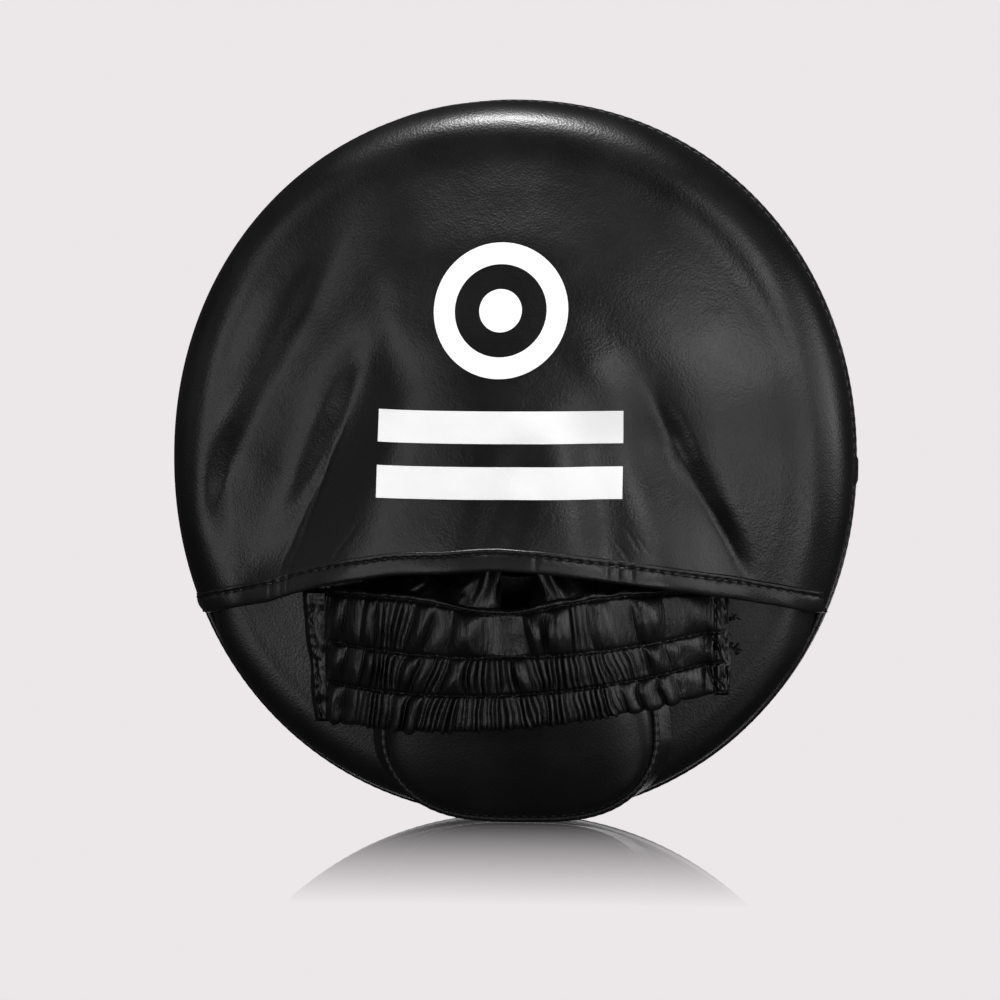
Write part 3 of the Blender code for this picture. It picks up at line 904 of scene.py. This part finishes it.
def strap_line(share, row):
    """Height of each stitched line, from row 0 at the top to row 3 at the bottom fold."""
    bow = np.maximum(0, 1 - share * share)
    top = -40.4 + 1.2 * smooth(share, 0.2, 0.7) - 4.6 * bell(share + 0.02, 0.33) + 0.4 * bow**2
    second = -53.1 + 1.4 * share - 4.6 * bow
    third = -64.2 + 3.0 * share - 5.0 * bow
    bottom = -74.6 + 4.6 * share - 5.0 * bow
    k = np.clip(np.floor(row).astype(int), 0, 2)
    t = row - k
    return np.choose(k, (top, second, third)) * (1 - t) + np.choose(k, (second, third, bottom)) * t


def pleat_edges(row):
    """(edges, heights) of the pleats along a row, from the strap's left end to its right end."""
    rng = np.random.default_rng(40 + row)
    edges, heights = [STRAP_SPAN[0] - 4.0], []
    broad = sorted((m - w / 2, m + w / 2, h) for m, w, h in BULGES[row])
    while edges[-1] < STRAP_SPAN[1] + 4.0:
        here = edges[-1]
        ahead = [b for b in broad if b[1] > here + 0.2]
        if ahead and here >= ahead[0][0] - 0.7:
            edges.append(ahead[0][1])
            heights.append(ahead[0][2])
            continue
        width = rng.uniform(1.1, 2.1)
        if ahead and here + width > ahead[0][0] - 0.5:
            width = max(0.8, ahead[0][0] - here)
        edges.append(here + width)
        heights.append(width * rng.choice([0.3, 0.6, 0.9, 1.15]))
    return np.array(edges), np.array(heights)


def strap_pleats(x, row, r):
    """(height, width) of the pleat of row r under each place. Pleats lean towards the strap's middle."""
    t = np.clip(row - r, 0, 1)
    lean = LEAN[r] * (t - 0.5) * (np.tanh(strap_share(x) * 4) + 0.8 * noise(x, r, 9, 56))
    wander = 0.5 * noise(x, row * 5, 3.1, 50 + r) + 0.7 * noise(x, row * 5, 8, 53 + r)
    place = x - lean + wander * np.sin(math.pi * t)
    edges, heights = pleat_edges(r)
    k = np.clip(np.searchsorted(edges, place) - 1, 0, len(heights) - 1)
    width = edges[k + 1] - edges[k]
    q = np.clip((place - edges[k]) / width, 0, 1)
    return np.sin(math.pi * q) ** (0.6 + 0.25 * smooth(width, *PLEAT)) * heights[k] * 1.1, width


def strap_puff(x, row):
    """How far the gathered leather stands off the elastic at a place along the strap and across its rows."""
    total = np.zeros_like(x)
    for r in range(3):
        t = np.clip(row - r, 0, 1)
        body = np.sin(math.pi * t) ** 0.38
        if r == 2:
            body = np.where(t < 0.5, body, np.sqrt(np.maximum(0, 1 - (2 * t - 1) ** 6)))
        ridge, width = strap_pleats(x, row, r)
        broad = smooth(width, *PLEAT)
        ridge = ridge * (broad * body + (1 - broad) * (0.35 + 0.65 * body))
        pinch = bell(t, 0.15) + (bell(t - 1, 0.15) if r < 2 else 0)
        warp = x + 0.4 * noise(x, row * 7, 2.0, 60 + r)
        gather = 0.45 * np.abs(np.sin(math.pi * warp / 1.7 + 2.5 * noise(x, r, 7, 70 + r)))
        slack = 0.3 * noise(x, row * 12, 5, 65 + r) * body
        puff = 1.2 * body + ridge + slack + gather * pinch * (0.25 + 0.75 * (1 - broad))
        total = np.where((row >= r) & (row <= r + 1), puff, total)
    ruffle = 0.5 + 0.45 * noise(x, row * 6, 2.2, 76) + 0.25 * noise(x, row * 6, 1.1, 77)
    lip = 0.3 + (0.35 + ruffle) * np.sin(math.pi * np.clip(-row / LIP, 0, 1)) ** 0.5
    return np.where(row < 0, lip, total)


def on_strap(x, row, out):
    """Points on the strap at places along it and across its rows, lifted by out."""
    share = strap_share(x)
    z = strap_line(share, np.clip(row, 0, 3)) + (11.5 + 3.5 * noise(x, 0, 3.4, 59)) * np.clip(-row, 0, 1)
    lift = strap_lift(share) + out - 2.0 - 0.6 * np.clip(-row / LIP, 0, 1)
    return xyz(x, crown_y(inset_at(x, z)) - lift, z)


def strap_rows(line):
    """Stitches along the three sewn lines, over these places along the strap."""
    away = xyz(0.35 * strap_share(line), -1, 0)
    paths = [on_strap(line, row + 0.03 * noise(line, row, 6, 90), 0.35) for row in range(3)]
    return join_rows([stitch_row(path, away, 2.9, 0.6) for path in paths])


def make_strap():
    """The gathered cover, with the tapes in its channels, its lining and its three rows of stitches."""
    half, steps = ((460, 104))
    left, right = STRAP_SPAN
    x = np.concatenate([np.linspace(left, STRAP_MIDDLE, half + 1),
                        np.linspace(STRAP_MIDDLE, right, half + 1)[1:]])
    lip_rows = LIP * np.array([-1, -0.85, -0.6, -0.35, -0.15])
    rows = np.concatenate([lip_rows, np.linspace(0, 2.9, steps), [2.93, 2.96, 2.98, 2.995, 3.0]])
    gx, gr = np.meshgrid(x, rows)
    puff = strap_puff(gx, gr) - 0.5 * sum(bell(gr - line, 0.035) for line in range(3))
    edge = smooth(gx, left, left + 2.5) * (1 - smooth(gx, right - 2.0, right))
    seam = sum(bell(gx - place, 0.5) for place in STRAP_END_SEAMS)
    puff = puff * (0.35 + 0.65 * edge) * (1 - 0.55 * np.minimum(1, seam)) + 1.4 * smooth(gx, 60, 65)
    grid = on_strap(gx, gr, puff)
    ridge, width = strap_pleats(gx, gr, 2)
    sag = np.minimum(1.5, 0.45 * ridge + 0.35 * smooth(width, *PLEAT))
    grid[:, :, 2] -= sag * smooth(gr, 2.3, 3.0) * edge
    halves("strap_leather", grid, 0.8, "strap", "strap_cover")
    along = np.linspace(STRAP_X[0] + 1, STRAP_X[1] - 1, 121)
    for k, node in enumerate(("elastic_upper", "elastic_middle", "elastic_lower")):
        gx, gr = np.meshgrid(along, np.linspace(k + 0.14, k + 0.86, 9))
        tape = on_strap(gx, gr, -1.0 + 0.15 * np.sin(gx * 4))
        halves(node + "_tape", tape, 0.9, "elastic", node)
    gx, gr = np.meshgrid(np.linspace(*STRAP_X, 181), np.linspace(-0.02, 2.98, 40))
    back = on_strap(gx, gr, -2.3 + 0.3 * noise(gx, gr * 12, 4, 80) - 0.25 * np.abs(np.sin(gx * 1.1)))
    halves("strap_lining_cloth", back, 0.7, "lining", "strap_lining")
    for name, end in (("left", left + 0.5), ("right", right - 3.5)):
        line = np.linspace(STRAP_MIDDLE, end, 260)
        bend(capsules("strap_stitches_" + name, *strap_rows(line), 0.26))


def make_tabs():
    """The strap's folded ends, each sewn flat to the rear panel with one wavy row of stitches."""
    # Inner edge, outer edge, lean from top to bottom, seam's place in from the outer edge, and puff.
    spots = {"left": (STRAP_SPAN[0] + 1.6, -63.6, 3.4, 2.4, 2.2),
             "right": (STRAP_SPAN[1] - 3.5, 68.0, 0.2, 0.9, 1.5)}
    for name, (inner_x, outer_x, slant, offset, puff) in spots.items():
        side = SIDES[name]

        def seam_x(t):
            return outer_x - side * offset + slant * t + (0.35 * np.sin(t * 21) + 0.25 * np.sin(t * 47 + 1))

        down = np.linspace(0, 1, 70)[:, None]
        across = np.linspace(0, 1, 24)[None, :]
        z = strap_line(side + 0 * across, 3 * down + 0 * across) + 1.2 * (1 - 2 * down)
        x = inner_x + (outer_x - inner_x) * across + slant * down + 0.4 * noise(across, z, 9, 103) * across
        edge = smooth(across, 0, 0.12) * (1 - smooth(across, 0.8, 1.0))
        edge = edge * smooth(down, 0, 0.03) * (1 - smooth(down, 0.97, 1))
        lift = 0.7 + puff * edge - 0.7 * np.minimum(1, bell(x - seam_x(down), 0.6)) * edge
        lift = lift + (0.45 * noise(x, z, 3.1, 101) + 0.2 * noise(x, z, 1.4, 102)) * edge
        piece = sheet(f"strap_end_{name}", xyz(x, rear_surface(x, z) - lift, z), 0.6, "strap")
        stand_in(piece, "strap_tab_" + name)
        t = np.linspace(0.03, 0.97, 120)
        z = strap_line(side + 0 * t, 3 * t)
        if side < 0:
            x = seam_x(t)
            y = rear_surface(x, z) - 2.1
        else:
            x = STRAP_END_SEAMS[0] + 0.2 * np.sin(t * 30)
            y = on_strap(x, 3 * t, strap_puff(x, 3 * t) * 0.35 + 1.5)[:, 1]
        row = stitch_row(xyz(x, y, z), xyz(0 * x, -1.0, 0.0), 2.8, 0.62)
        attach(capsules(f"strap_end_stitches_{name}", *row, 0.22), PAD)


def make_bar_tacks():
    """Three small knots of thread on the rear panel beside the strap's right end."""
    rng = np.random.default_rng(7)
    starts, ends = [], []
    for x, z in ((69.3, -47.3), (69.4, -55.6), (70.4, -57.4)):
        for _ in range(9):
            a = np.array([x, 0, z]) + rng.uniform(-0.8, 0.8, 3)
            b = a + rng.uniform(-1.3, 1.3, 3)
            for p in (a, b):
                p[1] = rear_surface(p[0], p[2]) - rng.uniform(0.2, 0.9)
            starts.append(a)
            ends.append(b)
    away = np.tile([0.0, -1.0, 0.0], (len(starts), 1))
    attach(capsules("bar_tacks", starts, ends, away, 0.22), PAD)


# Each inner cuff's ends, and its folds that rise towards the hem: (foot x, tip x, half width, height).
CUFFS = {
    "left": (-44.0, 0.5, ((-6.5, -2.5, 6.0, 15.0), (-24.0, -20.0, 5.0, 7.0))),
    "right": (9.5, 46.0, ((20.0, 12.5, 6.0, 15.0), (34.0, 31.0, 5.0, 7.0))),
}


def make_cuffs():
    """Gathered inner cuffs behind the strap's upper edge. A pointed fold of each rises towards the hem."""
    for name, (start, end, tongues) in CUFFS.items():
        x, up = np.meshgrid(np.linspace(start, end, 260), np.linspace(0, 1, 70))
        height, near = 4.2 + 1.4 * noise(x, 0, 5, 112), 0 * x
        for foot, _, half, tall in tongues:
            share = bell(x - foot, half)
            near = np.maximum(near, share * tall / 15)
            height = np.maximum(height, tall * share + 4.0 * (1 - share))
        foot, tip = tongues[0][:2]
        shift = (tip - foot) * up * smooth(near, 0.2, 0.9) + 0.8 * noise(x, up * 12, 6, 114) * up
        z = strap_line(strap_share(x), 0 * x) + 1.0 + height * up
        drop = 1.0 + 9.0 * (1 - near) * up + 2.0 * near * up
        crumple = 1.5 * noise(x + 3 * up, up * 6, 4.2, 111) + 0.35 * noise(x, up * 9, 1.9, 113)
        pleat = 1.3 * np.cos((x - foot) * (1 + 0.5 * up)) * near
        lift = strap_lift(strap_share(x)) - 2.6 - drop + (crumple + pleat) * (0.3 + 0.7 * up)
        grid = xyz(x + shift, crown_y(inset_at(x, z)) - lift, z)
        piece = sheet(f"inner_cuff_{name}_leather", grid[::-1], 0.7, "strap")
        stand_in(piece, "inner_cuff_" + name)


# --- heel pad and palm cushion


def heel_place(turn, scale, spread=0.0):
    """(x, z) round the heel pad: nearly straight sides that lean in towards a flat bottom."""
    c, s = np.cos(turn), np.sin(turn)
    reach = scale * (np.abs(c) ** 3 + np.abs(s) ** 3) ** (-1 / 3)
    z = HEEL_Z + HEEL_HALF_HEIGHT * reach * s * np.where(s < 0, 0.955, 1)
    lean = 1 - 0.10 * smooth(HEEL_Z - z, 0, 24)
    return HEEL_X + (HEEL_HALF_WIDTH + spread) * reach * c * lean, z


def heel_base(x, z):
    """The plane of the heel pad's piped seam."""
    return crown_y(inset_at(x, z)) - 6.4


def make_heel():
    """The heel pad: a puffed cover over a side wall, with piping and a row of stitches at its bottom."""
    turn = full_turn(300)
    angle = np.concatenate([np.linspace(0, 1.2, 26), np.linspace(1.2, 1.52, 26)[1:]])[:, None]
    foot = smooth(-np.sin(turn), 0.55, 0.95)
    x, z = heel_place(turn, np.cos(angle))
    rise = 10.4 * np.sin(np.minimum(angle * 1.04, math.pi / 2)) ** 0.62
    rise = rise + 0.17 * (z - HEEL_Z) * np.sin(angle) - 1.1 * bell(angle - 0.2, 0.09) * foot
    slack = 0.45 * noise(x, z, 17, 120) * smooth(angle, 0.05, 0.4)
    pulls = 0.18 * np.cos(turn * 90) * bell(angle - 0.16, 0.16) * foot
    y = heel_base(x, z) - 0.4 - rise - slack - pulls
    cover = sheet("heel_pad_leather", xyz(x, y, z), 1.2, "heel", wrap=True, capped=True)
    stand_in(cover, "heel_pad_cover")

    down = np.linspace(0, 1, 18)[:, None]
    x, z = heel_place(turn, 1.0, 5.0 * (1 - down) ** 1.5)
    base = rear_surface(x, z) - 0.25
    y = base + (heel_base(x, z) - base) * down + 0.35 * noise(x, z, 6, 122) * np.sin(math.pi * down)
    wall = sheet("heel_pad_wall_leather", xyz(x, y, z), 1.1, "heel", wrap=True)
    stand_in(wall, "heel_pad_wall")

    x, z = heel_place(full_turn(520), 1.02)
    piping = cord("heel_pad_piping_cord", xyz(x, heel_base(x, z) - 0.2, z), 1.2, ripple=0.04, pitch=2.8)
    stand_in(piping, "heel_pad_piping")

    x, z = heel_place(np.linspace(math.radians(220), math.radians(320), 300), math.cos(0.2))
    away = xyz((x - HEEL_X) * 0.01, -1, (z - HEEL_Z) * 0.02)
    row = stitch_row(xyz(x, heel_base(x, z) - 3.2, z), away, 2.9, 0.62)
    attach(capsules("heel_pad_stitches", *row, 0.28), PAD)


def make_palm_cushion():
    """A low round cushion on the rear panel, under the palm."""
    node = "palm_cushion_cover"
    turn = full_turn(120)
    angle = np.linspace(0, 1.5, 26)[:, None]
    x = centre_of(node, X) + half_of(node, X) * np.cos(angle) * np.cos(turn)
    z = centre_of(node, Z) + half_of(node, X) * np.cos(angle) * np.sin(turn)
    lift = 0.4 + 11.6 * np.sin(angle) ** 0.9 + 0.25 * noise(x, z, 9, 130) * np.sin(angle)
    lift = lift + 0.15 * np.cos(turn * 36) * bell(angle - 0.15, 0.2)
    grid = xyz(x, crown_y(inset_at(x, z)) - lift, z)
    piece = sheet("palm_cushion_leather", grid, 1.2, "heel", wrap=True, capped=True)
    stand_in(piece, node)


def finish_foam():
    """Gives a material to the foams and the board, which keep their CAD shape."""
    for node, look in (("core_foam", "core"), ("shock_foam", "shock"), ("backing_board", "board"),
                       ("heel_pad_foam", "core"), ("palm_cushion_foam", "core")):
        for place in frame["nodes"][node].material_slots:
            place.material = LOOKS[look]


# --- studio

BACKDROP = (0.839, 0.799, 0.815, 1)
# Softboxes round the mitt: name, azimuth towards +X, elevation, (width, height) in metres, power in watts.
SOFTBOXES = (
    ("top", -50, 83.5, (0.36, 0.3), 26),
    ("left_near", -30, 8, (0.4, 0.8), 0.6),
    ("left_front", -50, 8, (0.5, 0.8), 2),
    ("left_side", -90, 8, (0.5, 0.8), 0.22),
    ("left_high", -52, 25, (0.4, 0.4), 0.4),
    ("right_high", 38, 22, (0.5, 0.45), 2.7),
    ("right_near", 30, 8, (0.4, 0.8), 1.2),
    ("right_front", 50, 8, (0.5, 0.8), 0.6),
    ("right_side", 72, 8, (0.5, 0.8), 2.1),
    ("right_back", 95, 8, (0.5, 0.8), 3.7),
    ("left_low", -45, -13, (0.4, 0.35), 0.9),
    ("low_left", -26, -12, (0.3, 0.3), 1.3),
    ("low_right", 12, -12, (0.35, 0.3), 0.8),
    ("right_low", 38, -13, (0.4, 0.35), 2),
    ("low", 50, -40, (0.6, 0.4), 0.3),
    ("back_low", 180, -20, (0.9, 0.6), 1.8),
)


def make_world():
    """The lens and the floor's mirror image see the pale backdrop. All else gets a dim, even fill."""
    world = bpy.data.worlds.new("studio")
    bpy.context.scene.world = world
    n = Nodes(world)
    backdrop = n.tree.nodes["Background"]
    backdrop.inputs["Color"].default_value = BACKDROP
    fill = n.add("ShaderNodeBackground", Color=(0.95, 0.95, 1.0, 1), Strength=0.03)
    ray = n.add("ShaderNodeLightPath").outputs
    seen = n.math("MAXIMUM", ray["Is Camera Ray"], ray["Is Singular Ray"])
    n.mix_out(seen, fill, backdrop, "World Output")


def make_floor(floor_z):
    """A plain pale floor as bright as the backdrop, glossy round the mitt and duller further in front."""
    mesh = bpy.data.meshes.new("floor")
    reach = 6.0
    corners = ((-reach, -reach), (reach, -reach), (reach, reach), (-reach, reach))
    mesh.from_pydata([(x, y, floor_z) for x, y in corners], [], [(0, 1, 2, 3)])
    n = Look("pale_floor")
    n.tree.nodes.remove(n.shader)
    paint = n.add("ShaderNodeEmission", Color=BACKDROP, Strength=1.0)
    mirror = n.add("ShaderNodeBsdfGlossy", Color=(1, 1, 1, 1), Roughness=0.0)
    split = n.add("ShaderNodeSeparateXYZ", Vector=n.place)
    gloss = n.range(split.outputs["Y"], 0.0, 0.95, -0.235, -0.005)
    n.mix_out(gloss, paint, mirror, "Material Output")
    floor = show(mesh, "floor", n.material)
    floor.visible_diffuse = floor.visible_glossy = floor.visible_shadow = False
    # The softboxes would show in the floor's mirror as white patches.
    unlit = bpy.data.collections.new("not_lit_by_softboxes")
    unlit.objects.link(floor)
    unlit.collection_objects[0].light_linking.link_state = "EXCLUDE"
    for made in bpy.context.scene.objects:
        if made.type == "LIGHT":
            made.light_linking.receiver_collection = unlit


def hang(data, azimuth, elevation, distance, aim=(0, 0, 0)):
    """Puts a light or a camera this many metres out from a point, and turns it to the point."""
    a, e = math.radians(azimuth), math.radians(elevation)
    back = Vector((math.sin(a) * math.cos(e), -math.cos(a) * math.cos(e), math.sin(e)))
    made = bpy.data.objects.new(data.name, data)
    made.location = Vector(aim) + back * distance
    made.rotation_euler = (-back).to_track_quat("-Z", "Y").to_euler()
    bpy.context.scene.collection.objects.link(made)
    return made


def make_studio():
    scene = bpy.context.scene
    scene.view_settings.view_transform = "Standard"
    make_world()
    for name, azimuth, elevation, size, power in SOFTBOXES:
        light = bpy.data.lights.new(name + "_softbox", "AREA")
        light.shape = "RECTANGLE"
        light.size, light.size_y = size
        light.energy = power
        hang(light, azimuth, elevation, distance=1.5)
    camera = bpy.data.cameras.new("camera")
    camera.lens = 351.2
    camera.sensor_width = 36
    camera.clip_end = 50
    camera.shift_x = -0.012
    camera.shift_y = -0.0398
    scene.camera = hang(camera, azimuth=6.0, elevation=3.5, distance=3.0, aim=(0.0, 0.014, 0.0))


# --- everything

make_studio()
make_rear_panel()
make_edge_band()
make_pipings()
make_target()
make_hood()
make_hem()
make_mark()
make_strap()
make_tabs()
make_bar_tacks()
make_cuffs()
make_heel()
make_palm_cushion()
finish_foam()

LOOK_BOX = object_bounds()
make_floor(LOOK_BOX[0][2])
